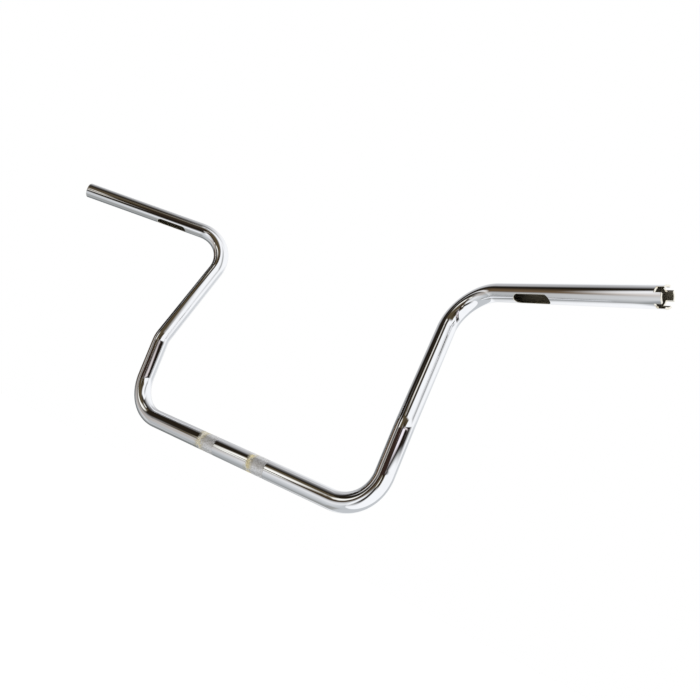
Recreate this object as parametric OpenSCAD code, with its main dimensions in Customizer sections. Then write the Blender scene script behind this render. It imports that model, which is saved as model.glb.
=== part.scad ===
/* [Tube] */
// Outside diameter of the tube, the same from end to end
tube_d = 25.4; // [22:0.1:32]
// Thickness of the tube's wall
wall = 2.4; // [1.5:0.1:3.5]

/* [Base and risers] */
// Straight length of the base, between the two lower bends
base_straight = 313; // [240:1:360]
// Angle that each lower bend turns through
lower_bend = 86.5; // [70:0.5:100]
// Straight length of the lower riser
lower_straight = 57.5; // [20:0.5:120]
// Angle of the small bend half way up the riser
riser_bend = 18.5; // [5:0.5:35]
// Straight length of the upper riser
upper_straight = 141.5; // [80:0.5:260]
// Radius of the lower and upper bends, to the middle of the tube
bend_r = 55.5; // [45:0.5:80]
// Radius of the small riser bend, to the middle of the tube
riser_bend_r = 38; // [30:1:80]
// How much of its radius the tube loses where it is bent
bend_draw = 0.05; // [0.02:0.01:0.2]

/* [Grips] */
// Angle that each upper bend turns through
upper_bend = 101.5; // [85:0.5:115]
// Straight length of each grip, from the upper bend to its end
grip_straight = 217.5; // [200:0.5:280]

/* [Bend planes] */
// How far the lower risers lean back when the bar is mounted
mount_lean = 8.5; // [-10:0.5:30]
// Turn of the tube between the lower bend and the riser bend
lower_twist = -73; // [-110:1:-40]
// Turn of the tube between the riser bend and the upper bend
upper_twist = -135; // [-160:1:-110]

/* [Clamp bands] */
// Distance between the middles of the two knurled bands
band_spacing = 88.9; // [70:0.1:110]
// Length of each knurled band along the tube
band_len = 28; // [18:1:36]
// How far the knurl's crests stand proud of the tube
band_rise = 0.1; // [0.05:0.05:0.3]

/* [Wiring] */
// Distance from the right grip's end to the near end of its wiring slot
right_slot_from_end = 132.5; // [100:0.5:145]
// Distance from the left grip's end to the near end of its wiring slot
left_slot_from_end = 138; // [100:0.5:145]
// Length of a grip's slot over its round ends
slot_len = 53; // [25:1:60]
// Width of a grip's slot
slot_w = 14; // [6:0.5:15]
// How far round the right grip its slot lies from the outside of the upper bend
right_slot_turn = 168; // [120:0.1:200]
// How far round the left grip its slot lies from the outside of the upper bend
left_slot_turn = 178.8; // [120:0.1:200]
// Length of the exit slot under the base
exit_len = 30; // [16:1:34]
// Width of the exit slot
exit_w = 12; // [6:0.5:14]
// How far the exit slot is turned forwards from straight down
exit_turn = 40; // [0:1:90]

/* [Throttle end] */
// Depth of the notches that locate the electronic throttle
notch_depth = 7.5; // [5:0.5:16]
// Width of each notch
notch_w = 7; // [3:0.5:9]
// How far the notches are turned from the plane of the upper bend
notch_turn = 0; // [-45:1:45]

/* [Hidden] */
$fn = 96;
tube_r = tube_d / 2;
bore_r = tube_r - wall;
// A cutter runs past the surface that it opens by this much
past = 1;
// A straight stretch runs this far into the bend that follows it
lap = 0.2;
chrome = "gainsboro";

// Straight tube of radius r from here along the run, which laps the bends at both its ends
module run(length, r) {
    translate([0, 0, -lap])
        cylinder(h = length + 2 * lap, r = r);
}

// Bend of radius r for the tube and bend_radius for its middle, turning towards local X
module bend(angle, bend_radius, r) {
    translate([bend_radius, 0, 0])
        rotate([90, 0, 180])
            rotate_extrude(angle = angle)
                translate([bend_radius, 0])
                    circle(r = r - bend_draw);
}

// Puts its children at the end of a straight run
module after_run(length) {
    translate([0, 0, length])
        children();
}

// Puts its children at the end of a bend
module after_bend(angle, bend_radius) {
    translate([bend_radius * (1 - cos(angle)), 0, bend_radius * sin(angle)])
        rotate([0, angle, 0])
            children();
}

// Turns the tube about its own run before the next bend
module twist(angle) {
    rotate([0, 0, angle])
        children();
}

// The frame at the start of the right half: the run points along +X and bends upwards
module from_centre() {
    rotate([0, 90, 0])
        twist(180 + mount_lean)
            children();
}

// The frame at the start of the right grip
module at_grip() {
    from_centre()
        after_run(base_straight / 2)
            after_bend(lower_bend, bend_r)
                after_run(lower_straight)
                    twist(lower_twist)
                        after_bend(riser_bend, riser_bend_r)
                            after_run(upper_straight)
                                twist(upper_twist)
                                    after_bend(upper_bend, bend_r)
                                        children();
}

// The right side of the bar past the base, as a solid rod of radius r that ends past its grip by extra
module side_rod(r, extra) {
    from_centre()
        after_run(base_straight / 2) {
            bend(lower_bend, bend_r, r);
            after_bend(lower_bend, bend_r) {
                run(lower_straight, r);
                after_run(lower_straight)
                    twist(lower_twist) {
                        bend(riser_bend, riser_bend_r, r);
                        after_bend(riser_bend, riser_bend_r) {
                            run(upper_straight, r);
                            after_run(upper_straight)
                                twist(upper_twist)
                                    bend(upper_bend, bend_r, r);
                        }
                    }
            }
        }
    at_grip()
        run(grip_straight + extra - lap, r);
}

// The whole bar as a solid rod
module rod(r, extra = 0) {
    rotate([0, 90, 0])
        translate([0, 0, -base_straight / 2])
            run(base_straight, r);
    side_rod(r, extra);
    mirror([1, 0, 0])
        side_rod(r, extra);
}

// A slot with round ends through one wall, centred here, cut along local -X
module slot_cutter(length, width) {
    reach = tube_r + past;
    rotate([0, -90, 0]) {
        for (side = [-1, 1])
            translate([side * (length - width) / 2, 0, 0])
                cylinder(h = reach, d = width);
        translate([-(length - width) / 2, -width / 2, 0])
            cube([length - width, width, reach]);
    }
}

// A wiring slot cut into the right grip, so far from its end and so far round it
module grip_slot(from_end, turn) {
    at_grip()
        after_run(grip_straight - from_end - slot_len / 2)
            twist(turn)
                slot_cutter(slot_len, slot_w);
}

// Two crossed cuts that leave four tabs on the right grip's end
module end_notches() {
    at_grip()
        after_run(grip_straight - notch_depth)
            for (turn = [notch_turn, notch_turn + 90])
                twist(turn)
                    translate([-tube_r - past, -notch_w / 2, 0])
                        cube([tube_d + 2 * past, notch_w, notch_depth + past]);
}

// One knurled clamp band, as a sleeve of the tube's own metal
module clamp_band() {
    rotate([0, 90, 0])
        cylinder(h = band_len, r = tube_r + band_rise, center = true);
}

// The wire exit under the front of the base's middle
module exit_slot() {
    rotate([exit_turn, 0, 0])
        rotate([0, 90, 0])
            rotate([0, 0, 180])
                slot_cutter(exit_len, exit_w);
}

module handlebar() {
    color(chrome)
        difference() {
            union() {
                rod(tube_r);
                for (side = [-1, 1])
                    translate([side * band_spacing / 2, 0, 0])
                        clamp_band();
            }
            rod(bore_r, past);
            grip_slot(right_slot_from_end, right_slot_turn);
            mirror([1, 0, 0])
                grip_slot(left_slot_from_end, left_slot_turn);
            end_notches();
            exit_slot();
        }
}

handlebar();
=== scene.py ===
# %% [markdown]
# # A one-piece handlebar in chrome plate
#
# The part is one steel tube, bent six times and chrome plated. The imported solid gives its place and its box.
# This lesson dresses that solid: it lays a fine skin over the same bends, cuts the real edges into it,
# presses the knurl for the clamps, and gives it a finish that only a mirror has.
# A mirror has no colour of its own to paint, so half of the lesson is about the room that it reflects.

import bpy
import numpy as np
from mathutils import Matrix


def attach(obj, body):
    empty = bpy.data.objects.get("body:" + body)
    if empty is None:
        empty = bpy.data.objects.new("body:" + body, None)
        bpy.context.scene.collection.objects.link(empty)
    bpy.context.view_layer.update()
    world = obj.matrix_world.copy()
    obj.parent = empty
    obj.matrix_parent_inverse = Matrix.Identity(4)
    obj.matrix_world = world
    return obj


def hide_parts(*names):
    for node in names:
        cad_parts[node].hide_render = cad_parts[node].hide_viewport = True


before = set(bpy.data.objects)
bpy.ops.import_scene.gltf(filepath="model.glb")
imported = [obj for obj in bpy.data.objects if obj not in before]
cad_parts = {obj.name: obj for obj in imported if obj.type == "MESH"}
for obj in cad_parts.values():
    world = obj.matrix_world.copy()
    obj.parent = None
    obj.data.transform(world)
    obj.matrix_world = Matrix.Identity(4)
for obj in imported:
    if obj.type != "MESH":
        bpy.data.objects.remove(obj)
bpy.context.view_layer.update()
scene = bpy.context.scene

# %% [markdown]
# ## Where the picture is taken from
#
# The bar is stored as it sits on a motorcycle: +X to the rider's right, +Y forwards and +Z up.
# The picture looks at it from the rider's seat, low and to the right, with the camera rolled.
# The lens is a plain one of about 31 mm. The sensor is shifted a little because the picture was trimmed
# unevenly, so its middle isn't where the lens points.

# %% The camera
camera = bpy.data.objects.new("camera", bpy.data.cameras.new("camera"))
camera.location = (0.47956, -0.71976, -0.04587)
camera.rotation_euler = np.radians((113.4608, -25.0162, 24.1697))
camera.data.lens = 30.9
camera.data.sensor_width = 36.0
camera.data.shift_x = 0.0499
camera.data.shift_y = -0.1067
camera.data.clip_end = 50.0
scene.collection.objects.link(camera)
scene.camera = camera
print("camera", camera.data.lens, "mm, shifted", camera.data.shift_x, camera.data.shift_y)

# %% [markdown]
# ## The bar's sizes
#
# These are the lengths and angles that the tube bender is set to, in millimetres and degrees.
# The script can't read the part's source, so it repeats them.

# %% Sizes in millimetres and degrees
# One millimetre in metres
MM = 0.001
TUBE_R = 12.7
BORE_R = 10.3
LEAN = 8.5
BASE_HALF = 156.5
RISER_LOWER = 57.5
RISER_UPPER = 141.5
GRIP = 217.5
LOWER_BEND = 86.5
RISER_BEND = 18.5
UPPER_BEND = 101.5
LOWER_TWIST = -73.0
UPPER_TWIST = -135.0
BEND_R = 55.5
RISER_BEND_R = 38.0
# What the tube's radius loses where it is bent
BEND_DRAW = 0.05
# The right band's middle, from the middle of the base
BAND_MIDDLE = 44.45
BAND_LENGTH = 28.0
BAND_RISE = 0.1
# Half sizes of the grips' slots, and their middles from the start of each grip
SLOT_HALF = 26.5
SLOT_HALF_WIDTH = 7.0
RIGHT_SLOT_PLACE = 58.5
LEFT_SLOT_PLACE = 53.0
EXIT_HALF = 15.0
EXIT_HALF_WIDTH = 6.0
EXIT_FORWARDS = 40.0
NOTCH_DEPTH = 7.5
NOTCH_HALF = 3.5

# Each step is a run's length, or a bend's angle, its radius and the way that it turns round the tube
STEPS = [
    ("run", BASE_HALF),
    ("bend", LOWER_BEND, BEND_R, 0.0),
    ("run", RISER_LOWER),
    ("bend", RISER_BEND, RISER_BEND_R, LOWER_TWIST),
    ("run", RISER_UPPER),
    ("bend", UPPER_BEND, BEND_R, LOWER_TWIST + UPPER_TWIST),
    ("run", GRIP),
]
BENDS = [index for index, step in enumerate(STEPS) if step[0] == "bend"]


def step_length(step):
    """Length along the tube's middle: a run's own length, or a bend's angle in radians times its radius."""
    return step[1] if step[0] == "run" else np.radians(step[1]) * step[2]


STEP_ENDS = np.cumsum([0.0] + [step_length(step) for step in STEPS])
HALF_LENGTH = STEP_ENDS[-1]
GRIP_START = STEP_ENDS[-2]
print("tube length from the middle to an end:", round(HALF_LENGTH, 2), "mm")

# %% [markdown]
# ## The line that the tube follows
#
# A bent tube is a chain: straight, bend, straight, bend. Each link starts where the last one ended and faces
# the way that it faced. One frame of three arrows is carried along: `ahead` points along the tube, `first`
# and `second` point across it. A bend turns all three about one axis and never spins them about `ahead`,
# so columns of points laid round the tube run straight along it and don't wind.


# %% Carry a frame along the chain
def turned(vectors, axis, angle):
    """Each vector turned about a unit axis: the part along the axis stays, and the rest goes round by the
    angle."""
    cos, sin = np.cos(angle)[:, None], np.sin(angle)[:, None]
    along = (vectors @ axis)[:, None] * axis
    return along + (vectors - along) * cos + np.cross(axis, vectors) * sin


def walk_step(step, start, travel):
    """The frame after some travel into one step. In a bend of radius R the middle line goes R(1 - cos t)
    towards the bend's side and R sin t ahead, and the arrows turn by t = travel / R."""
    place, first, second, ahead = start
    if step[0] == "run":
        spread = np.ones((len(travel), 1))
        return [place + travel[:, None] * ahead, first * spread, second * spread, ahead * spread]
    radius, way = step[2], np.radians(step[3])
    side = np.cos(way) * first + np.sin(way) * second
    axis = np.cross(ahead, side)
    angle = travel / radius
    centre = place + radius * ((1 - np.cos(angle))[:, None] * side + np.sin(angle)[:, None] * ahead)
    arrows = [turned(np.tile(arrow, (len(travel), 1)), axis, angle) for arrow in (first, second, ahead)]
    return [centre] + arrows


def chain_starts():
    """Where each step starts, and its three arrows there, found by walking the chain once."""
    lean = np.radians(LEAN)
    place = np.zeros(3)
    first = np.array([0.0, -np.sin(lean), np.cos(lean)])
    second = np.array([0.0, -np.cos(lean), -np.sin(lean)])
    ahead = np.array([1.0, 0.0, 0.0])
    starts = []
    for step in STEPS:
        starts.append((place, first, second, ahead))
        end = walk_step(step, starts[-1], np.array([step_length(step)]))
        place, first, second, ahead = (rows[0] for rows in end)
    return starts


STARTS = chain_starts()


def spine(run):
    """Middle of the tube and its three arrows at each distance from the bar's middle, for the right half."""
    run = np.asarray(run, float)
    which = np.clip(np.searchsorted(STEP_ENDS, run, side="right") - 1, 0, len(STEPS) - 1)
    out = [np.zeros((len(run), 3)) for _ in range(4)]
    for index, step in enumerate(STEPS):
        here = which == index
        for target, rows in zip(out, walk_step(step, STARTS[index], run[here] - STEP_ENDS[index])):
            target[here] = rows
    return out


grip_end = spine([HALF_LENGTH])[0][0]
print("middle of the right grip's end:", grip_end.round(2), "mm")

# %% [markdown]
# ## A skin sewn from patches
#
# The surface is made of patches. A patch is a grid of points with the surface's true direction at each one,
# so the mirror shows the form that the formula gives and not the flats between the points.
# `Skin` collects patches, turns each face outwards, and joins points that meet. It keeps each patch's own
# directions at the seams, which is what makes a cut edge look crisp.


# %% Collect patches into one mesh
# Points nearer to each other than about this are joined
MERGE_GRID = 0.002


def grid_faces(rows, columns):
    """Corner numbers of the squares between neighbouring rows and columns of a grid."""
    corner = (np.arange(rows - 1)[:, None] * columns + np.arange(columns - 1)).ravel()
    return np.stack([corner, corner + 1, corner + columns + 1, corner + columns], 1)


class Skin:
    """Patches of one surface, kept as arrays until the mesh is made."""

    def __init__(self):
        self.points, self.corners, self.sizes = [], [], []
        self.directions, self.sheets, self.zones = [], [], []
        self.count = 0

    def add(self, points, directions, sheet, zone, faces=None):
        """Adds a patch. Points and directions are (rows, columns, 3). Sheet is the flat place of each point,
        as (rows, columns, 2). Zone is the kind of surface: (bore, cut edge, knurl) as shares from 0 to 1."""
        rows, columns = points.shape[:2]
        faces = grid_faces(rows, columns) if faces is None else faces
        flat = points.reshape(-1, 3)
        ways = directions.reshape(-1, 3)
        ways = ways / np.linalg.norm(ways, axis=1, keepdims=True)
        loop = flat[faces]
        facing = np.cross(loop[:, 2] - loop[:, 0], loop[:, -1] - loop[:, 1])
        inward = (facing * ways[faces].sum(1)).sum(1) < 0
        faces = np.where(inward[:, None], faces[:, ::-1], faces)
        zone = np.broadcast_to(np.asarray(zone, float), points.shape).reshape(-1, 3)
        self.points.append(flat)
        self.corners.append((faces + self.count).ravel())
        self.sizes.append(np.full(len(faces), faces.shape[1]))
        self.directions.append(ways[faces].reshape(-1, 3))
        self.sheets.append(sheet.reshape(-1, 2)[faces].reshape(-1, 2))
        self.zones.append(zone[faces].reshape(-1, 3))
        self.count += len(flat)

    def add_left(self, points, directions, sheet, zone, faces=None):
        """Adds the mirror image of a right-hand patch, on the left half."""
        flip = np.array([-1.0, 1.0, 1.0])
        self.add(points * flip, directions * flip, sheet * np.array([-1.0, 1.0]), zone, faces)

    def add_both(self, points, directions, sheet, zone, faces=None):
        """Adds a patch of the right half and its mirror image on the left half."""
        self.add(points, directions, sheet, zone, faces)
        self.add_left(points, directions, sheet, zone, faces)

    def mesh(self, name):
        """Joins points that meet, and makes the Blender mesh in metres."""
        points = np.concatenate(self.points)
        key = np.round(points / MERGE_GRID).astype(np.int64)
        _, keep, index = np.unique(key, axis=0, return_index=True, return_inverse=True)
        corners = index.ravel()[np.concatenate(self.corners)]
        sizes = np.concatenate(self.sizes)
        starts = np.concatenate([[0], np.cumsum(sizes)[:-1]])
        data = bpy.data.meshes.new(name)
        data.vertices.add(len(keep))
        data.vertices.foreach_set("co", (points[keep] * MM).ravel())
        data.loops.add(len(corners))
        data.loops.foreach_set("vertex_index", corners)
        data.polygons.add(len(sizes))
        data.polygons.foreach_set("loop_start", starts)
        data.polygons.foreach_set("use_smooth", np.ones(len(sizes), bool))
        data.update(calc_edges=True)
        sheet = data.uv_layers.new(name="sheet")
        sheet.data.foreach_set("uv", (np.concatenate(self.sheets) * MM).ravel())
        zones = np.concatenate(self.zones)
        for column, zone in enumerate(("bore", "cut_edge", "knurl")):
            layer = data.attributes.new(zone, "FLOAT", "CORNER")
            layer.data.foreach_set("value", zones[:, column].astype(np.float32))
        data.normals_split_custom_set(np.concatenate(self.directions))
        return data


# %% [markdown]
# ## Rings of points round the tube
#
# Most of the skin is rings. The number of columns is the same everywhere, so that neighbouring patches share
# their points. Each slot wants a column on its own middle and each notch wants columns at its two sides, so
# the columns drift round the tube by half a degree on the straights between them. The surface stays the same.

# %% Place rings on the tube
COLUMNS = 100
TURN_STEP = 360.0 / COLUMNS
# Degrees round the tube of the slots, the wire exit and the first notch, counted from the arrow `first`
SLOT_TURN = 140.0
LEFT_SLOT_TURN = SLOT_TURN + 3 * TURN_STEP
EXIT_TURN = 180.0 + EXIT_FORWARDS - LEAN
NOTCH_TURN = 152.0
BAND_START = BAND_MIDDLE - BAND_LENGTH / 2
BAND_END = BAND_MIDDLE + BAND_LENGTH / 2
# Lengths of tube, past a cut, that belong to the cut's own patches
SLOT_MARGIN = 12.0
EXIT_MARGIN = 9.0
NOTCH_MARGIN = 8.0
SLOTS_START = GRIP_START + LEFT_SLOT_PLACE - SLOT_HALF - SLOT_MARGIN
SLOTS_END = GRIP_START + RIGHT_SLOT_PLACE + SLOT_HALF + SLOT_MARGIN
EXIT_ZONE = EXIT_HALF + EXIT_MARGIN
NOTCH_ROOT = HALF_LENGTH - NOTCH_DEPTH
END_START = NOTCH_ROOT - NOTCH_MARGIN
DRIFT_START = BAND_END + 2.0
# Length over which the bends' thinner tube goes over into the runs'
DRAW_RAMP = 8.0
# Distances between rings on runs and in bends, for the skin and for the bore, which is seen only through cuts
SKIN_STEPS = (12.0, 2.0)
BORE_STEPS = (40.0, 7.0)


def column_drift(run):
    """Degrees that the columns have drifted: set by the wire exit at the base, zero at the grip's slot, and
    set by the notches at the end, with straight ramps between."""
    at_exit = (EXIT_TURN - SLOT_TURN) % TURN_STEP
    at_exit -= TURN_STEP * (at_exit > TURN_STEP / 2)
    at_notch = (NOTCH_TURN - SLOT_TURN) % TURN_STEP - TURN_STEP / 2
    places = [DRIFT_START, BASE_HALF, SLOTS_END, END_START]
    return np.interp(run, places, [at_exit, 0.0, 0.0, at_notch])


def ring_turns(run, columns=COLUMNS):
    """Degrees round the tube of each column, as (rows, columns + 1). The last column repeats the first."""
    return SLOT_TURN + column_drift(run)[:, None] + np.arange(columns + 1) * (360.0 / columns)


def around(turns, first, second):
    """The direction out of the tube at some degrees round it: cos of first plus sin of second."""
    angle = np.radians(turns)[..., None]
    return np.cos(angle) * first[:, None] + np.sin(angle) * second[:, None]


def bend_share(run):
    """1 inside the bends and 0 on the runs, with a smooth ramp inside each end of a bend: 3 t^2 - 2 t^3."""
    share = np.zeros_like(run)
    for index in BENDS:
        depth = np.minimum(run - STEP_ENDS[index], STEP_ENDS[index + 1] - run)
        ramp = np.clip(depth / DRAW_RAMP, 0, 1)
        share = np.maximum(share, ramp * ramp * (3 - 2 * ramp))
    return share


def tube_radius(run, turns, radius):
    """Radius of the tube at a place on it: its own radius, less what it loses where it is bent."""
    return radius - BEND_DRAW * bend_share(run)[:, None] + 0.0 * turns


def tube_patch(run, turns, radius):
    """Points, directions and flat places of rings: the spine plus the radius times the way out. The direction
    leans back where the radius grows along the tube, which a small step either way measures."""
    centre, first, second, ahead = spine(run)
    out = around(turns, first, second)
    reach = tube_radius(run, turns, radius)
    points = centre[:, None] + reach[..., None] * out
    small = 0.05
    slope = (tube_radius(run + small, turns, radius) - tube_radius(run - small, turns, radius)) / (2 * small)
    directions = out - slope[..., None] * ahead[:, None]
    sheet = np.stack([run[:, None] + 0 * turns, np.radians(turns) * radius], -1)
    return points, directions, sheet


def ring_runs(start, end, straight_step, bend_step):
    """Distances for rings from start to end: close together in bends and far apart on runs."""
    stops = [start] + [stop for stop in STEP_ENDS if start < stop < end] + [end]
    pieces = []
    for low, high in zip(stops[:-1], stops[1:]):
        kind = STEPS[min(np.searchsorted(STEP_ENDS, (low + high) / 2) - 1, len(STEPS) - 1)][0]
        count = int(np.ceil((high - low) / (bend_step if kind == "bend" else straight_step)))
        pieces.append(np.linspace(low, high, count, endpoint=False))
    return np.concatenate(pieces + [[end]])


skin = Skin()
OUTSIDE, BORE, CUT_EDGE = (0, 0, 0), (1, 0, 0), (0, 1, 0)


def add_bore(run):
    """Rings of the bore at these distances, on both halves, whose directions point to the tube's middle."""
    points, directions, sheet = tube_patch(run, ring_turns(run), BORE_R)
    skin.add_both(points, -directions, sheet, BORE)


def add_rings(start, end):
    """Outer skin and bore between two distances, on both halves."""
    run = ring_runs(start, end, *SKIN_STEPS)
    skin.add_both(*tube_patch(run, ring_turns(run), TUBE_R), OUTSIDE)
    add_bore(ring_runs(start, end, *BORE_STEPS))


# Length of the ring that joins the knurl's fine grid to the tube's columns
KNURL_JOIN = 0.4
add_rings(BAND_END + KNURL_JOIN, SLOTS_START)
add_rings(SLOTS_END, END_START)
print("rings laid:", skin.count, "points")

# %% [markdown]
# ## The knurled clamp bands
#
# A knurl is rolled into the tube by two toothed wheels that cross each other, so its valleys run round the
# tube on two slants and leave rows of small diamonds. It grips the clamp. Here it is real geometry:
# fifty diamonds go round the tube, four points to each, and their tips stand 0.1 mm proud.
# The fine grid has twice the columns of the tube, so a ring of five-sided faces joins one to the other.

# %% Press the knurl
TEETH = 50
KNURL_DEPTH = 0.32
KNURL_FADE = 0.9
KNURL_COLUMNS = 2 * COLUMNS
KNURL_ROWS = 68


def knurl_height(run, turns):
    """Height above the valleys from 0 to 1: the lower of two crossed ridges, each a triangle wave."""
    across = turns / 360.0 * TEETH
    along = (run[:, None] - BAND_MIDDLE) / (2 * np.pi * TUBE_R / TEETH)
    ridges = [1 - 2 * np.abs((across + way * along) % 1.0 - 0.5) for way in (1, -1)]
    return np.minimum(*ridges)


def add_knurl():
    """One clamp band on both halves: the knurled grid, whose height fades out at its ends, and a ring that
    joins each end to the tube. The direction is the cross product of the grid's two slopes."""
    run = np.linspace(BAND_START, BAND_END, KNURL_ROWS + 1)
    turns = ring_turns(run, KNURL_COLUMNS)
    fade = np.clip(np.minimum(run - BAND_START, BAND_END - run) / KNURL_FADE, 0, 1)[:, None]
    height = knurl_height(run, turns)
    reach = TUBE_R + (BAND_RISE - KNURL_DEPTH * (1 - height)) * fade
    centre, first, second = spine(run)[:3]
    out = around(turns, first, second)
    points = centre[:, None] + reach[..., None] * out
    directions = np.cross(np.gradient(points, axis=1), np.gradient(points, axis=0))
    directions *= np.sign((directions * out).sum(-1, keepdims=True))
    sheet = np.stack([run[:, None] + 0 * turns, np.radians(turns) * TUBE_R], -1)
    zone = np.stack([0 * reach, 0 * reach, fade + 0 * reach], -1)
    skin.add_both(points, directions, sheet, zone)
    join_rings(BAND_START - KNURL_JOIN, BAND_START)
    join_rings(BAND_END + KNURL_JOIN, BAND_END)
    add_bore(np.array([BAND_START - KNURL_JOIN, BAND_END + KNURL_JOIN]))


def join_rings(coarse, fine):
    """A ring of five-sided faces between COLUMNS points at one distance and twice as many at another."""
    both = np.array([coarse, fine])
    low = tube_patch(both[:1], ring_turns(both[:1]), TUBE_R)
    high = tube_patch(both[1:], ring_turns(both[1:], KNURL_COLUMNS), TUBE_R)
    stacked = [np.concatenate([a[0], b[0]])[None] for a, b in zip(low, high)]
    plain = np.arange(COLUMNS)
    dense = COLUMNS + 1 + 2 * plain
    faces = np.stack([plain, plain + 1, dense + 2, dense + 1, dense], 1)
    skin.add_both(*stacked, OUTSIDE, faces)


add_knurl()
add_rings(EXIT_ZONE, BAND_START - KNURL_JOIN)
print("knurl pressed:", TEETH, "diamonds round the tube")

# %% [markdown]
# ## The wiring slots
#
# The wires of the switches go into the tube through a slot in each grip and leave under the base.
# A slot with round ends is milled straight through one wall. Its edge is deburred, and the rounded lip is
# what catches the light. The patch round it is like a picture frame: its inside is the slot's outline, and
# its outside is a rectangle of the tube's own columns. Plain part rings close the tube behind it.

# %% Cut a slot
LIP = 0.7
LIP_TURN = np.radians(np.linspace(0, 90, 6))[:, None, None]
FRAME_COLUMNS = 14
FRAME_ROWS = 30
# How far each row of the frame lies from the slot's outline towards the rectangle
FRAME_SHARES = np.array([0, 0.05, 0.12, 0.25, 0.45, 0.7, 1.0])[:, None, None]


def oblong(arc, half_length, half_width):
    """A slot's outline by the distance along it, from its tip further along the tube: two half circles
    joined by two straights. Gives each point's place along and across the tube, and the way out of the
    outline there."""
    straight = 2 * (half_length - half_width)
    quarter = np.pi * half_width / 2
    total = 2 * straight + 4 * quarter
    arc = arc % total
    folded = np.where(arc > total / 2, total - arc, arc)
    first = folded < quarter
    last = folded > quarter + straight
    angle = np.where(first, folded, np.where(last, folded - straight, quarter)) / half_width
    shift = np.where(first, 1.0, np.where(last, -1.0, 1 - 2 * (folded - quarter) / straight)) * straight / 2
    flip = np.where(arc > total / 2, -1.0, 1.0)
    way = np.stack([np.cos(angle), np.sin(angle) * flip], -1)
    return np.stack([shift, 0 * shift], -1) + half_width * way, way


def frame_points(low, high, radius):
    """The rectangle round a slot: from low to high along the tube, and FRAME_COLUMNS each way round it."""
    reach = np.radians(FRAME_COLUMNS * TURN_STEP) * radius
    side = np.linspace(-reach, reach, 2 * FRAME_COLUMNS + 1)[:-1]
    edge = np.linspace(high, low, FRAME_ROWS + 1)
    along = np.concatenate([0 * side + high, edge[:-1], 0 * side + low, edge[:0:-1]])
    across = np.concatenate([side, 0 * edge[1:] + reach, -side, 0 * edge[1:] - reach])
    return np.stack([along, across], -1)


def add_slot(put, middle, turn, half_length, half_width, start, end):
    """Slot, lip, cut wall and the skin round them from start to end, outside and in the bore. The frame's
    rows go from the outline to the rectangle by equal shares of the two on the unrolled tube, and the lip is
    a quarter circle between the skin and the wall of the cut."""
    count = 2 * (2 * FRAME_COLUMNS + FRAME_ROWS)
    total = 4 * (half_length - half_width) + 2 * np.pi * half_width
    arc = (np.arange(count + 1) - FRAME_COLUMNS) * total / count
    outline, way = oblong(arc, half_length, half_width)
    centre, first, second, ahead = (row[0] for row in spine([abs(middle)]))
    out = np.cos(np.radians(turn)) * first + np.sin(np.radians(turn)) * second
    side = np.cross(ahead, out)

    def place(flat, radius):
        """A point of the tube by its distance along and its straight distance across, on a given radius."""
        height = np.sqrt(radius ** 2 - flat[..., 1] ** 2)
        return centre + flat[..., :1] * ahead + flat[..., 1:] * side + height[..., None] * out

    def sheet_of(flat, radius):
        """The flat place of a point: its distance along the bar and its distance round the tube."""
        across = np.radians(turn) * radius + radius * np.arcsin(flat[..., 1] / radius)
        return np.stack([middle + flat[..., 0], across], -1)

    for radius, lip, zone, sign in ((TUBE_R, LIP, OUTSIDE, 1.0), (BORE_R, 0.0, BORE, -1.0)):
        inner = outline + lip * way
        inner_arc = np.stack([inner[:, 0], radius * np.arcsin(inner[:, 1] / radius)], -1)
        outer_arc = frame_points(start - middle, end - middle, radius)
        outer_arc = np.concatenate([outer_arc, outer_arc[:1]])
        flat = (1 - FRAME_SHARES) * inner_arc + FRAME_SHARES * outer_arc
        angle = flat[..., 1] / radius
        ways = np.cos(angle)[..., None] * out + np.sin(angle)[..., None] * side
        points = centre + flat[..., :1] * ahead + radius * ways
        sheet = flat + np.array([middle, np.radians(turn) * radius])
        put(points, sign * ways, sheet, zone)
        run = np.linspace(start, end, FRAME_ROWS + 1)
        turns = turn + np.arange(FRAME_COLUMNS, COLUMNS - FRAME_COLUMNS + 1) * TURN_STEP + 0 * run[:, None]
        points, ways, sheet = tube_patch(run, turns, radius)
        put(points, sign * ways, sheet, zone)
    flat = outline + LIP * (1 - np.sin(LIP_TURN)) * way
    depth = LIP * (1 - np.cos(LIP_TURN))[..., 0]
    height = (flat[..., 1] / TUBE_R)[..., None]
    away = way[:, :1] * ahead + way[:, 1:] * side
    upward = np.sqrt(1 - height ** 2) * out + height * side
    ways = np.cos(LIP_TURN) * upward - np.sin(LIP_TURN) * away
    put(place(flat, TUBE_R - depth), ways, sheet_of(flat, TUBE_R), CUT_EDGE)
    reach = np.linspace(TUBE_R - LIP, BORE_R, 3)[:, None] + 0 * arc
    flat = outline + 0 * reach[..., None]
    put(place(flat, reach), -away + 0 * flat[..., :1], sheet_of(flat, TUBE_R), CUT_EDGE)


GRIP_SLOT = (SLOT_HALF, SLOT_HALF_WIDTH, SLOTS_START, SLOTS_END)
add_slot(skin.add, GRIP_START + RIGHT_SLOT_PLACE, SLOT_TURN, *GRIP_SLOT)
add_slot(skin.add_left, GRIP_START + LEFT_SLOT_PLACE, LEFT_SLOT_TURN, *GRIP_SLOT)
add_slot(skin.add, 0.0, EXIT_TURN, EXIT_HALF, EXIT_HALF_WIDTH, -EXIT_ZONE, EXIT_ZONE)
print("slots cut:", skin.count, "points")

# %% [markdown]
# ## The two ends
#
# The left end is sawn square and deburred. The right end has four notches, milled as two crossed cuts, which
# leave four tabs. They locate the throttle's sensor. The skin's columns close up on the notches' sides just
# before them, and each side, floor and tab end is a flat face with a rounded lip.

# %% Finish the ends
END_LIP = 0.45
END_LIP_TURN = np.radians(np.linspace(0, 90, 5))[:, None]
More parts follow.
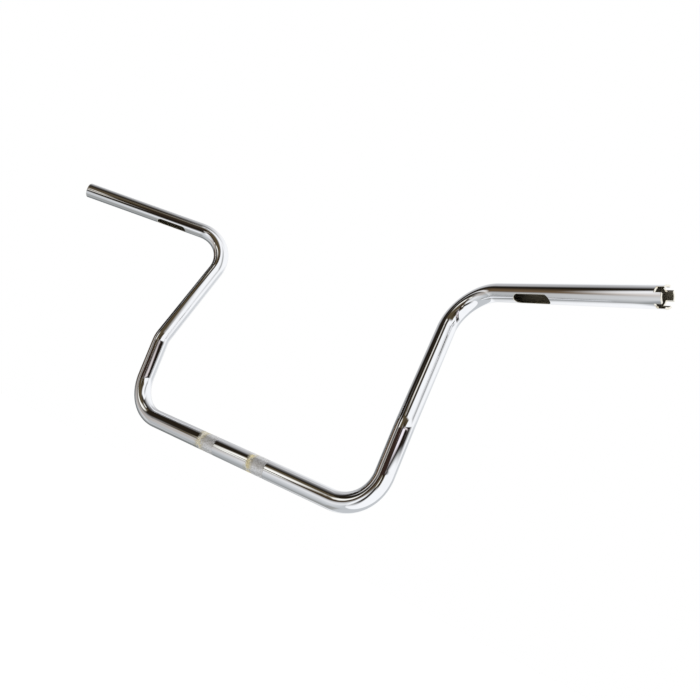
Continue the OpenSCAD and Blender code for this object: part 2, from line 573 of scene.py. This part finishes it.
# Each row of the lip lies so far before the cut and so far under the skin, and the flat face has these radii
LIP_OFFSET = END_LIP * (1 - np.sin(END_LIP_TURN))
LIP_DEPTH = END_LIP * (1 - np.cos(END_LIP_TURN))
END_FACE = np.linspace(TUBE_R - END_LIP, BORE_R, 3)[:, None]
QUARTER_CELLS = COLUMNS // 4
NOTCH_CELLS = 7
TAB_CELLS = QUARTER_CELLS - NOTCH_CELLS
END_CENTRE, END_FIRST, END_SECOND, END_AHEAD = (rows[0] for rows in spine([HALF_LENGTH]))


def end_points(run, turns, radius):
    """Points near the grip's end, by distance from the bar's middle, degrees round and radius, and the way
    out of the tube at each."""
    angle = np.radians(turns)[..., None]
    ways = np.cos(angle) * END_FIRST + np.sin(angle) * END_SECOND
    along = END_CENTRE + (run - HALF_LENGTH)[..., None] * END_AHEAD
    return along + np.asarray(radius)[..., None] * ways, ways


def add_end(put, run, turns, radius, directions, zone):
    """Puts a patch near the end, whose three place arrays are stretched to one shape. The directions are one
    for all points, or a function of the way out of the tube."""
    run, turns, radius = np.broadcast_arrays(run, turns, radius)
    points, ways = end_points(run.astype(float), turns, radius)
    directions = directions(ways) if callable(directions) else np.broadcast_to(directions, points.shape)
    put(points, directions, np.stack([run, np.radians(turns) * TUBE_R], -1), zone)


def lip_ways(ways, toward):
    """Directions on a lip, from out of the tube to toward the cut: cos of the one plus sin of the other."""
    return np.cos(END_LIP_TURN)[..., None] * ways + np.sin(END_LIP_TURN)[..., None] * toward


def half_angle(across, radius):
    """Degrees from a notch's middle to a straight distance across it, on a given radius."""
    return np.degrees(np.arcsin(across / radius))


def plain_end(put):
    """The sawn end: rings up to the lip, the lip, the flat face, and the bore behind it."""
    turns = ring_turns(np.array([END_START]))
    run = np.array([END_START, HALF_LENGTH - END_LIP])[:, None]
    add_end(put, run, turns, TUBE_R, lambda ways: ways, OUTSIDE)
    add_end(put, HALF_LENGTH - LIP_OFFSET, turns, TUBE_R - LIP_DEPTH,
            lambda ways: lip_ways(ways, END_AHEAD), CUT_EDGE)
    add_end(put, HALF_LENGTH, turns, END_FACE, END_AHEAD, CUT_EDGE)
    add_end(put, np.array([END_START, HALF_LENGTH])[:, None], turns, BORE_R, lambda ways: -ways, BORE)


def notched_end(put):
    """The end with four tabs, quarter by quarter: rows that drift from the tube's even columns to the
    notch's, then the tab. The bore has the same rows without lips."""
    for radius, lip, sign, zone in ((TUBE_R, END_LIP, 1.0, OUTSIDE), (BORE_R, 0.0, -1.0, BORE)):
        edge = half_angle(NOTCH_HALF + lip, radius)
        uniform = np.arange(QUARTER_CELLS + 1) * TURN_STEP - NOTCH_CELLS * TURN_STEP / 2
        floor = half_angle(np.linspace(-1, 1, NOTCH_CELLS + 1) * (NOTCH_HALF + lip), radius)
        tab = np.linspace(edge, 90 - edge, TAB_CELLS + 1)
        fitted = np.concatenate([floor, tab[1:]])
        share = np.linspace(0, 1, 5)[:, None]
        run = END_START + share * (NOTCH_MARGIN - lip)
        tab_run = np.linspace(NOTCH_ROOT - lip, HALF_LENGTH - lip, 6)[:, None]
        for quarter in range(4):
            turn = NOTCH_TURN + 90 * quarter
            turns = turn + (1 - share) * uniform + share * fitted
            add_end(put, run, turns, radius, lambda ways: sign * ways, zone)
            add_end(put, tab_run, turn + tab, radius, lambda ways: sign * ways, zone)
    for quarter in range(4):
        notch_edges(put, NOTCH_TURN + 90 * quarter)


def notch_edges(put, turn):
    """Lips and flat faces of one notch and of the tab after it. A lip row lies at some offset from the cut
    and some depth under the skin, and the flat face goes on from it to the bore."""
    side = end_points(np.array(HALF_LENGTH), np.array(turn + 90.0), 1.0)[1]

    def edge(run, turns, toward):
        """One lip and its flat face. Run is a function of the offset, and turns of the offset and radius."""
        radius = TUBE_R - LIP_DEPTH
        add_end(put, run(LIP_OFFSET), turns(LIP_OFFSET, radius), radius,
                lambda ways: lip_ways(ways, toward), CUT_EDGE)
        add_end(put, run(0 * END_FACE), turns(0 * END_FACE, END_FACE), END_FACE, toward, CUT_EDGE)

    def tab_turns(offset, radius):
        """Degrees round the tab, from one notch's side to the next one's."""
        edge_angle = half_angle(NOTCH_HALF + offset, radius)
        return turn + edge_angle + share * (90 - 2 * edge_angle)

    across = np.linspace(-1, 1, NOTCH_CELLS + 1)
    edge(lambda offset: NOTCH_ROOT - offset + 0 * across,
         lambda offset, radius: turn + half_angle(across * (NOTCH_HALF + offset), radius), END_AHEAD)
    rise = np.linspace(0, NOTCH_DEPTH, 6)
    for hand in (1, -1):
        edge(lambda offset: NOTCH_ROOT + rise - offset,
             lambda offset, radius: turn + hand * half_angle(NOTCH_HALF + offset + 0 * rise, radius),
             -hand * side)
    share = np.linspace(0, 1, TAB_CELLS + 1)
    edge(lambda offset: HALF_LENGTH - offset + 0 * share, tab_turns, END_AHEAD)


plain_end(skin.add_left)
notched_end(skin.add)
print("ends finished:", skin.count, "points")

# %% [markdown]
# ## One object for the whole bar
#
# The real bar is one piece, so all patches become one mesh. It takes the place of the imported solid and
# rides on the root body, because nothing on the bar moves.

# %% Make the handlebar
tube = bpy.data.objects.new("handlebar_tube", skin.mesh("handlebar_tube"))
scene.collection.objects.link(tube)
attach(tube, "root")
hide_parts("handlebar")
sides = np.empty(len(tube.data.polygons), dtype=np.int32)
tube.data.polygons.foreach_get("loop_total", sides)
print("handlebar:", len(tube.data.vertices), "points,", int((sides - 2).sum()), "triangles")

# %% [markdown]
# ## Shader maths that reads like maths
#
# A material is a graph of small nodes. `Signal` wraps one output of a node, and its operators add Math nodes,
# so that `1 - mask` or `wear * 0.2 + 0.1` can be written as they are meant. `Graph.node` makes every other
# node: its settings are set first, and then the values or links of its sockets.

# %% A socket that can be added and multiplied
class Signal:
    """One output socket. A sum, difference or product of signals and numbers is a Math node's output."""

    def __init__(self, graph, socket):
        self.graph, self.socket = graph, socket

    def maths(self, operation, *values):
        """The output of a Math node with this operation on these values."""
        return self.graph.node("ShaderNodeMath", {"operation": operation}, dict(enumerate(values)))

    def __add__(self, other):
        return self.maths("ADD", self, other)

    def __radd__(self, other):
        return self.maths("ADD", other, self)

    def __sub__(self, other):
        return self.maths("SUBTRACT", self, other)

    def __rsub__(self, other):
        return self.maths("SUBTRACT", other, self)

    def __mul__(self, other):
        return self.maths("MULTIPLY", self, other)

    def __rmul__(self, other):
        return self.maths("MULTIPLY", other, self)

    def __abs__(self):
        return self.maths("ABSOLUTE", self)

    def larger(self, other):
        """The larger of two values."""
        return self.maths("MAXIMUM", self, other)

    def step(self, low, high):
        """0 at low, 1 at high, and a smooth S between them. It falls instead where low is above high."""
        return self.graph.node("ShaderNodeMapRange", {"interpolation_type": "SMOOTHSTEP"},
                               {"Value": self, "From Min": low, "From Max": high})


class Graph:
    """The nodes of one material or of the world."""

    def __init__(self, holder):
        holder.use_nodes = True
        self.tree = holder.node_tree

    def node(self, kind, settings=None, inputs=None, output=0):
        """Makes a node, sets its settings, then gives its sockets values or links, and returns one output."""
        made = self.tree.nodes.new(kind)
        for name, value in (settings or {}).items():
            setattr(made, name, value)
        for socket, value in (inputs or {}).items():
            self.feed(made, socket, value)
        return Signal(self, made.outputs[output])

    def feed(self, target, socket, value):
        """Links a signal to a socket of a node, or sets the socket's value."""
        if isinstance(value, Signal):
            self.tree.links.new(value.socket, target.inputs[socket])
        else:
            target.inputs[socket].default_value = value

    def blend(self, share, low, high):
        """A colour between two colours: (1 - share) of low plus share of high, by a Mix node. Its colours are
        the inputs 6 and 7 and the output 2."""
        colours = [value if isinstance(value, Signal) else (*value, 1.0) for value in (low, high)]
        return self.node("ShaderNodeMix", {"data_type": "RGBA"}, {0: share, 6: colours[0], 7: colours[1]}, 2)

    def dot(self, vector, arrow):
        """How far a vector reaches along an arrow, by a Vector Math node."""
        return self.node("ShaderNodeVectorMath", {"operation": "DOT_PRODUCT"}, {0: vector, 1: arrow}, "Value")

    def scaled(self, vector, factors):
        """A vector multiplied by one number for each axis."""
        return self.node("ShaderNodeVectorMath", {"operation": "MULTIPLY"}, {0: vector, 1: factors})

    def noise(self, vector, scale, detail=2.0, rough=0.5):
        """Cloudy noise from 0 to 1 with this many cells to the metre."""
        return self.node("ShaderNodeTexNoise", {"noise_dimensions": "3D"},
                         {"Vector": vector, "Scale": scale, "Detail": detail, "Roughness": rough})


print("shader maths ready")

# %% [markdown]
# ## Chrome plate, and what isn't chrome
#
# Chrome on polished nickel is a mirror with a faint cool tint. Its polish isn't even: a soft haze, fine wipe
# marks along the tube and, where the tube was bent, a slight waviness that makes reflections ragged.
# The plate hardly reaches into the bore, which is dull steel painted darker still, as painted shade inside the
# tube. The cut edges are painted a pale cream, a painted highlight of the light that their deburred lips
# catch. The knurl scatters light, so it looks matt, and grime has left a golden tint at each band's edge.

# %% Masks on the tube
chrome = bpy.data.materials.new("chrome_plate")
plate = Graph(chrome)
place = plate.node("ShaderNodeTexCoord", output="Object")
sheet = plate.node("ShaderNodeUVMap", {"uv_map": "sheet"})
bore, cut_edge, knurl = (plate.node("ShaderNodeAttribute", {"attribute_name": name}, output="Fac")
                         for name in ("bore", "cut_edge", "knurl"))
along_x = plate.dot(place, (1.0, 0.0, 0.0))
travel = abs(plate.dot(sheet, (1.0, 0.0, 0.0)))
WAVE_SOFT = 6.0


def stretch(low, high, soft):
    """1 between two distances along the tube in millimetres, and a smooth fall to 0 over a soft length
    outside them."""
    rising = travel.step((low - soft) * MM, low * MM)
    return rising * travel.step((high + soft) * MM, high * MM)


lower, small, upper = (stretch(STEP_ENDS[index], STEP_ENDS[index + 1], WAVE_SOFT) for index in BENDS)
bent = lower.larger(small).larger(upper)
print("bends start at", [round(STEP_ENDS[index], 1) for index in BENDS], "mm")

# %% [markdown]
# The golden tint sits at the left edge of each band. It is strongest in the knurl's first rows and fades out
# in patches. Its colour is wider and paler on the left band. The dull film under it is about 6 mm wide
# on both.

# %% Tint, haze and wipe marks
patches = plate.noise(place, 120.0, 3.0, 0.6)
TINT_INSET = 1.5
LEFT_TINT = TINT_INSET - BAND_END
RIGHT_TINT = TINT_INSET + BAND_START
from_left, from_right = (abs(along_x - middle * MM) for middle in (LEFT_TINT, RIGHT_TINT))
tint = (from_left.step(0.012, 0.003) * 0.7).larger(from_right.step(0.009, 0.001)) * patches.step(0.34, 0.58)
film = from_left.step(0.006, 0.0005).larger(from_right.step(0.006, 0.0005)) * patches.step(0.36, 0.54)
haze = plate.noise(place, 70.0, 4.0, 0.6).step(0.35, 0.8)
wipes = plate.noise(plate.scaled(sheet, (0.06, 1.0, 1.0)), 3000.0, 2.0, 0.7)
ripples = plate.noise(place, 85.0, 2.0, 0.5)
grime = plate.noise(place, 900.0, 3.0, 0.7)
print("tint round x =", LEFT_TINT, "and", RIGHT_TINT, "mm")

# %% [markdown]
# All of them meet in one metal shader. Each later layer covers the one before by its own mask.

# %% Lay the finish together
POLISHED, HAZED = (0.90, 0.905, 0.925), (0.83, 0.83, 0.86)
KNURL_PALE, KNURL_WORN = (0.86, 0.86, 0.87), (0.70, 0.695, 0.69)
GOLD = (0.72, 0.62, 0.33)
# The two cream colours paint a highlight on the cut edges: the pale cream stands in for the light that the
# deburred lips catch.
CREAM_HIGHLIGHT, DULL_CREAM_HIGHLIGHT = (0.94, 0.91, 0.84), (0.86, 0.81, 0.69)
# The bore's two steel colours are painted dark: painted shade inside the tube, over its dull unplated steel.
SHADED_STEEL, DARK_SHADED_STEEL = (0.26, 0.235, 0.17), (0.12, 0.105, 0.08)
shader = chrome.node_tree.nodes["Principled BSDF"]
colour = plate.blend(haze * 0.3, POLISHED, HAZED)
worn = plate.noise(place, 420.0, 2.0, 0.6).step(0.38, 0.62)
colour = plate.blend(knurl, colour, plate.blend(worn, KNURL_PALE, KNURL_WORN))
colour = plate.blend(tint * 0.85, colour, GOLD)
# Painted highlight: the cut edges take the pale cream colours, dulled in places by a noise.
colour = plate.blend(cut_edge, colour, plate.blend(grime.step(0.3, 0.7), CREAM_HIGHLIGHT, DULL_CREAM_HIGHLIGHT))
# Painted shade: the bore takes the dark steel colours, varied by a noise.
colour = plate.blend(bore, colour, plate.blend(grime.step(0.35, 0.75), SHADED_STEEL, DARK_SHADED_STEEL))
rough = 0.012 + haze * 0.018 + wipes.step(0.55, 0.8) * 0.012 + film * 0.35
rough = rough + knurl * 0.30 + cut_edge * 0.16 + bore * 0.45
bumps = ripples * bent * 0.00004 + grime * (knurl * 0.00001 + bore * 0.00008)
normal = plate.node("ShaderNodeBump", None, {"Height": bumps, "Distance": 1.0, "Strength": 1.0})
plate.feed(shader, "Base Color", colour)
plate.feed(shader, "Roughness", rough)
plate.feed(shader, "Metallic", 1.0 - bore * 0.5 - knurl * 0.25 - film * 0.4)
plate.feed(shader, "Normal", normal)
tube.data.materials.append(chrome)
print("chrome plate:", len(chrome.node_tree.nodes), "nodes")

# %% [markdown]
# ## The room that the chrome sees
#
# A mirror shows its room, so the room is made as carefully as the part. A studio for shiny things is a pale
# tent with dark and light boards set round it. Each board here is a soft-edged patch of the sky: a direction
# to its middle, a tilt, a half width and a half height, how soft its edges are, and a plain colour.
# Directions are measured from the camera: 0 degrees is behind the bar, 90 is to the right, 180 is behind the
# camera, and heights go from -90 under the camera to 90 above it. Later boards hang in front of earlier ones.
# Most of these numbers weren't chosen by eye. They were found by matching the bar's reflections to those in
# the photograph, and a few of the numbers were then changed.

# %% The boards
# Name, azimuth, height and tilt in degrees, half width, half height, soft width, soft height, colour
BOARDS = [
    ("ground", 312.8, -81.6, 160.1, 1.02, 0.38, 0.56, 0.03, (0.592, 0.614, 0.63)),
    ("ceiling", 254.2, 60.0, -100.7, 0.70, 0.36, 0.67, 0.08, (0.019, 0.014, 0.009)),
    ("brown_wall", 207.0, 36.6, 24.0, 0.57, 0.42, 0.03, 0.16, (0.098, 0.074, 0.041)),
    ("dark_wall", 313.6, 33.3, -30.6, 0.41, 0.61, 0.10, 0.32, (0.017, 0.013, 0.009)),
    ("dark_upright", 200.0, 11.3, 23.5, 0.15, 0.52, 0.17, 0.41, (0.018, 0.013, 0.008)),
    ("dark_slant", 149.1, 4.8, 25.3, 0.64, 0.11, 0.50, 0.04, (0.016, 0.011, 0.008)),
    ("pale_slant", 161.2, 12.1, 31.4, 0.32, 0.04, 0.60, 0.05, (0.773, 0.703, 0.701)),
    ("olive_strip", 273.0, 13.3, -59.8, 0.01, 0.48, 0.90, 0.15, (0.289, 0.19, 0.103)),
    ("ceiling_gap", 221.5, 68.5, 9.0, 0.18, 0.07, 0.03, 0.05, (0.877, 0.863, 0.81)),
    ("grey_wall", 346.0, 25.5, -9.8, 0.30, 0.53, 0.32, 0.90, (0.634, 0.635, 0.648)),
    ("grey_stool", 265.8, -52.0, -24.7, 0.36, 0.12, 0.03, 0.11, (0.417, 0.419, 0.405)),
    ("grey_floor", 315.5, -20.8, 17.0, 0.58, 0.47, 0.90, 0.39, (0.199, 0.212, 0.212)),
    ("grey_post", 117.1, 31.4, -9.9, 0.06, 0.42, 0.37, 0.36, (0.065, 0.07, 0.065)),
    ("window", 243.8, 38.4, -1.3, 0.08, 0.20, 0.07, 0.26, (1.074, 1.062, 0.996)),
    ("window_sill", 243.1, 23.5, -91.5, 0.08, 0.06, 0.02, 0.04, (1.339, 1.347, 1.244)),
    ("glint", 205.9, 14.5, 54.9, 0.04, 0.05, 0.14, 0.06, (1.387, 1.33, 1.204)),
    ("ceiling_edge", 196.0, 66.0, 0.0, 0.16, 0.14, 0.10, 0.06, (0.050, 0.038, 0.025)),
    ("maroon_shelf", 219.2, 25.5, 8.4, 0.40, 0.06, 0.10, 0.02, (0.037, 0.021, 0.016)),
    ("pale_shelf", 177.2, 14.8, 20.4, 0.21, 0.04, 0.14, 0.05, (1.013, 0.948, 1.004)),
    ("window_bar", 201.7, 29.6, 92.8, 0.10, 0.01, 0.09, 0.04, (1.069, 1.012, 0.922)),
]
TENT = (1.02, 1.03, 1.04)
print("boards:", len(BOARDS))

# %% [markdown]
# A ray that leaves the chrome in some direction reaches x along a board's width and y along its height.
# It meets the board where both are smaller than the half sizes, and where it leaves on the board's side.
# The background that the camera itself sees is plain white.

# %% Hang the boards in the world
turn = np.array(camera.rotation_euler.to_matrix())
SIGHT, RIGHTWARD, UPWARD = -turn[:, 2], turn[:, 0], turn[:, 1]


def board_arrows(azimuth, height, tilt):
    """A board's arrows: to its middle, along its width and along its height. The middle is cos(height) times
    (cos(azimuth) of sight plus sin(azimuth) of right) plus sin(height) of up. The tilt turns the others."""
    side, rise, roll = np.radians((azimuth, height, tilt))
    middle = np.cos(rise) * (np.cos(side) * SIGHT + np.sin(side) * RIGHTWARD) + np.sin(rise) * UPWARD
    wide = np.cos(side) * RIGHTWARD - np.sin(side) * SIGHT
    tall = np.cross(wide, middle)
    tall *= np.sign(tall @ UPWARD)
    return middle, np.cos(roll) * wide + np.sin(roll) * tall, np.cos(roll) * tall - np.sin(roll) * wide


world = bpy.data.worlds.new("room")
scene.world = world
room = Graph(world)
ray = room.node("ShaderNodeTexCoord", output="Generated")
light = TENT
for _, azimuth, height, tilt, half_wide, half_tall, soft_wide, soft_tall, board_colour in BOARDS:
    middle, wide, tall = board_arrows(azimuth, height, tilt)
    x, y, z = (room.dot(ray, tuple(arrow)) for arrow in (wide, tall, middle))
    board = abs(x).step(half_wide + soft_wide / 2, half_wide - soft_wide / 2)
    board = board * abs(y).step(half_tall + soft_tall / 2, half_tall - soft_tall / 2) * z.step(0.0, 0.3)
    light = room.blend(board, light, board_colour)
seen = room.node("ShaderNodeLightPath", output="Is Camera Ray")
room.feed(world.node_tree.nodes["Background"], "Color", room.blend(seen, light, (1.0, 1.0, 1.0)))
print("room:", len(world.node_tree.nodes), "nodes")

# %% [markdown]
# ## Floor and lamp
#
# The floor is plain and pale. It is a little bright of itself to the camera, so that it stays white round the
# soft shadow under a large lamp. The chrome sees the boards and not the floor. From below, a camera looks
# through the floor, so the underside of the bar can be looked at too.

# %% Lay the floor and hang the lamp
FLOOR_LEVEL = -0.3
FLOOR_REACH = 9.0
floor_corners = [(x * FLOOR_REACH, y * FLOOR_REACH, FLOOR_LEVEL)
                 for x, y in ((-1, -1), (1, -1), (1, 1), (-1, 1))]
floor_mesh = bpy.data.meshes.new("floor")
floor_mesh.from_pydata(floor_corners, [], [(0, 1, 2, 3)])
floor = bpy.data.objects.new("floor", floor_mesh)
scene.collection.objects.link(floor)
floor.visible_glossy = False
paper = bpy.data.materials.new("white_floor")
ground = Graph(paper)
diffuse = paper.node_tree.nodes["Principled BSDF"]
ground.feed(diffuse, "Base Color", (0.85, 0.85, 0.85, 1.0))
ground.feed(diffuse, "Roughness", 0.9)
ground.feed(diffuse, "Specular IOR Level", 0.0)
from_camera = ground.node("ShaderNodeLightPath", output="Is Camera Ray")
white = (1.0, 1.0, 1.0, 1.0)
glow = ground.node("ShaderNodeEmission", None, {"Color": white, "Strength": from_camera * 0.45})
both = ground.node("ShaderNodeAddShader", None, {0: glow, 1: Signal(ground, diffuse.outputs[0])})
underside = from_camera * ground.node("ShaderNodeNewGeometry", output="Backfacing")
clear = ground.node("ShaderNodeBsdfTransparent")
open_below = ground.node("ShaderNodeMixShader", None, {0: underside, 1: both, 2: clear})
ground.feed(paper.node_tree.nodes["Material Output"], "Surface", open_below)
floor.data.materials.append(paper)

lamp = bpy.data.objects.new("soft_lamp", bpy.data.lights.new("soft_lamp", "AREA"))
lamp.data.shape = "SQUARE"
lamp.data.size = 2.4
lamp.data.energy = 60.0
lamp.location = (0.4, -0.9, 2.6)
lamp.rotation_euler = np.radians((19.0, 0.0, 9.0))
lamp.visible_glossy = False
scene.collection.objects.link(lamp)
scene.view_settings.view_transform = "Standard"
print("floor at", FLOOR_LEVEL, "m, lamp", lamp.data.energy, "W")
